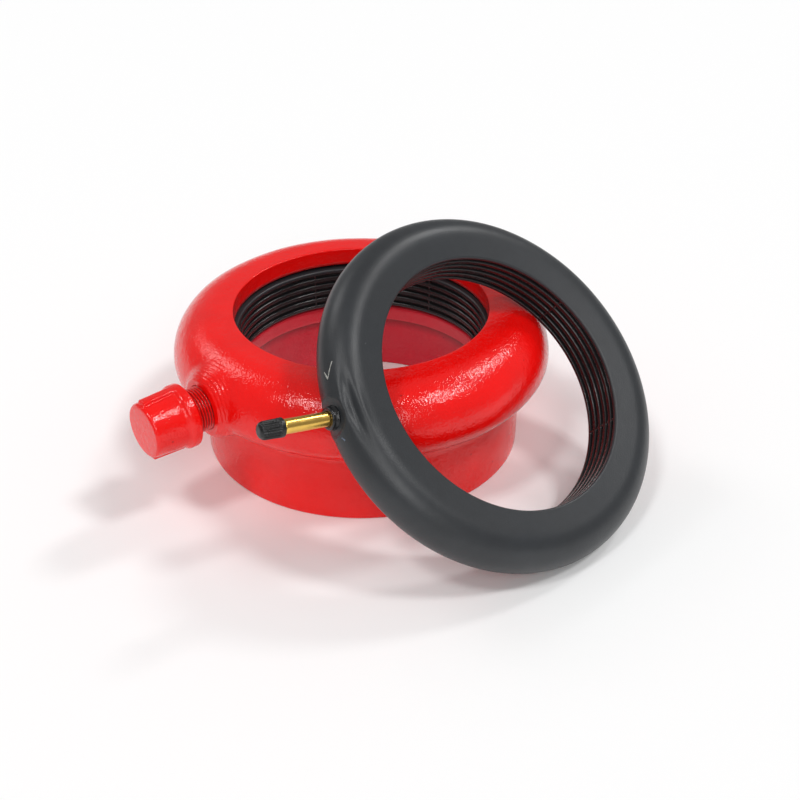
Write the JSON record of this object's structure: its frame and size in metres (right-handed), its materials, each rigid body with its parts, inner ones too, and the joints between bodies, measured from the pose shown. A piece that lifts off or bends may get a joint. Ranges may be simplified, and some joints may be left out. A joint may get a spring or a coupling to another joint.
{
  "type": "inflatable pipe seal with spare ring",
  "caption": "Round cast housing that slips over a pipe and holds a grooved inflatable rubber ring, with a capped side outlet over its valve and a spare ring leaning on it.",
  "frame": {"origin": "on the pipe's axis, in the plane of the skirt's end face that the housing stands on", "axes": "+Z along the pipe's axis, up through the housing; the side outlet and its cap point along -X; the spare ring leans on the -Y side"},
  "size_m": [0.2793, 0.3162, 0.1554],
  "materials": {
    "red_paint": "glossy red paint over rough cast iron",
    "ring_rubber": "matte grey-black moulded rubber",
    "valve_brass": "plain turned brass",
    "cap_plastic": "moulded black plastic with fine ribs",
    "spring_steel": "drawn wire"
  },
  "bodies": {
    "base": {"housing": "red_paint", "outlet_nipple": "red_paint", "fitted_seal_ring": "ring_rubber", "fitted_valve_stem": "valve_brass", "fitted_core_plug": "valve_brass", "fitted_core_gasket": "ring_rubber", "fitted_core_spring": "spring_steel", "fitted_dust_cap": "cap_plastic", "fitted_cap_washer": "ring_rubber", "spare_seal_ring": "ring_rubber", "spare_valve_stem": "valve_brass", "spare_core_plug": "valve_brass", "spare_core_gasket": "ring_rubber", "spare_core_spring": "spring_steel"},
    "outlet_cap": {"outlet_cap": "red_paint"},
    "fitted_valve_pin": {"fitted_core_pin": "valve_brass", "fitted_core_cup": "valve_brass"},
    "spare_valve_pin": {"spare_core_pin": "valve_brass", "spare_core_cup": "valve_brass"},
    "spare_dust_cap": {"spare_dust_cap": "cap_plastic", "spare_cap_washer": "ring_rubber"}
  },
  "joints": [
    {"name": "outlet_cap_off", "type": "slide", "parent": "base", "child": "outlet_cap", "axis": [-1, 0, 0], "range_m": [0, 0.03]},
    {"name": "fitted_pin_press", "type": "slide", "parent": "base", "child": "fitted_valve_pin", "axis": [1, 0, 0], "range_m": [0, 0.0012], "stiffness_N_per_m": 300, "springref_m": -0.004, "deforming": ["fitted_core_spring"]},
    {"name": "spare_pin_press", "type": "slide", "parent": "base", "child": "spare_valve_pin", "axis": [0.9788, -0.1156, -0.169], "range_m": [0, 0.0012], "stiffness_N_per_m": 300, "springref_m": -0.004, "deforming": ["spare_core_spring"]},
    {"name": "spare_dust_cap_off", "type": "slide", "parent": "base", "child": "spare_dust_cap", "axis": [-0.9788, 0.1156, 0.169], "range_m": [0, 0.014]}
  ]
}
